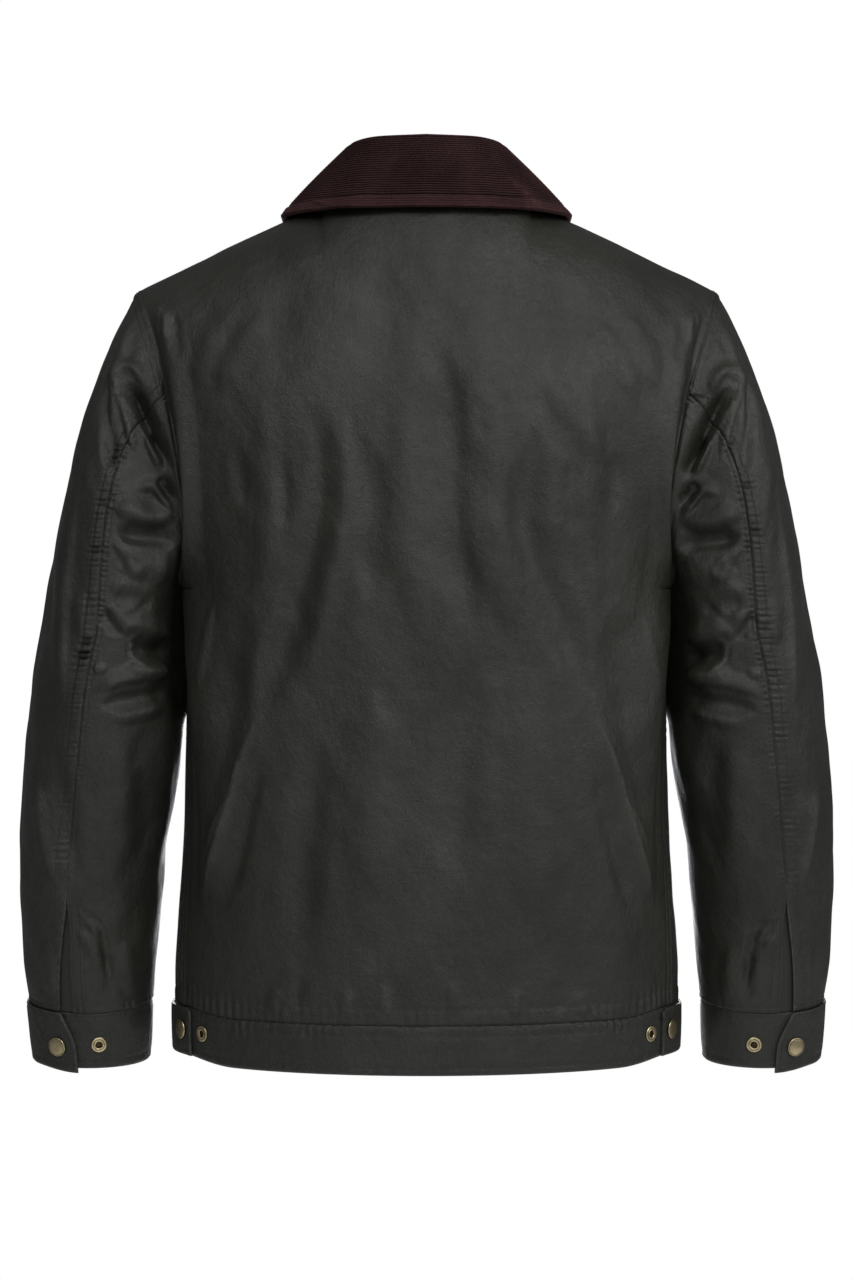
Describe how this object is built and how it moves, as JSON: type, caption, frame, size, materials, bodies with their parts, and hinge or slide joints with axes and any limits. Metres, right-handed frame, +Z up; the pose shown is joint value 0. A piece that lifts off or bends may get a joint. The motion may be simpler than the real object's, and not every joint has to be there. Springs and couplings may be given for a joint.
{
  "type": "waxed cotton jacket",
  "caption": "Short black-olive waxed cotton jacket with a brown corduroy collar, set-in sleeves, snap cuffs with vents, and a hem band with side tabs.",
  "frame": {"origin": "midway between the inner ends of the shoulder seams, level with them, where the wearer's shoulders carry the jacket", "axes": "+Z up, -Y towards the front, +X towards the wearer's left"},
  "size_m": [0.6826, 0.2944, 0.764],
  "materials": {
    "waxed_cotton": "waxed, soft sheen",
    "gusset_cloth": "matt",
    "corduroy": "pile, matt",
    "aged_brass": "aged, satin"
  },
  "bodies": {
    "root": {"back": "waxed_cotton", "front_left": "waxed_cotton", "front_right": "waxed_cotton", "placket": "waxed_cotton", "hem_band_back": "waxed_cotton", "hem_band_front_left": "waxed_cotton", "hem_band_front_right": "waxed_cotton", "sleeve_upper_left": "waxed_cotton", "sleeve_upper_right": "waxed_cotton", "sleeve_under_left": "waxed_cotton", "sleeve_under_right": "waxed_cotton", "cuff_left": "waxed_cotton", "cuff_right": "waxed_cotton", "hem_tab_left": "waxed_cotton", "hem_tab_right": "waxed_cotton", "cuff_gusset_left": "gusset_cloth", "cuff_gusset_right": "gusset_cloth", "collar": "corduroy", "cuff_cap_left": "aged_brass", "cuff_cap_right": "aged_brass", "cuff_socket_left": "aged_brass", "cuff_socket_right": "aged_brass", "hem_cap_left": "aged_brass", "hem_cap_right": "aged_brass", "hem_socket_left": "aged_brass", "hem_socket_right": "aged_brass", "placket_cap_1": "aged_brass", "placket_cap_2": "aged_brass", "placket_cap_3": "aged_brass", "placket_cap_4": "aged_brass", "placket_cap_5": "aged_brass", "placket_cap_6": "aged_brass"}
  },
  "joints": []
}
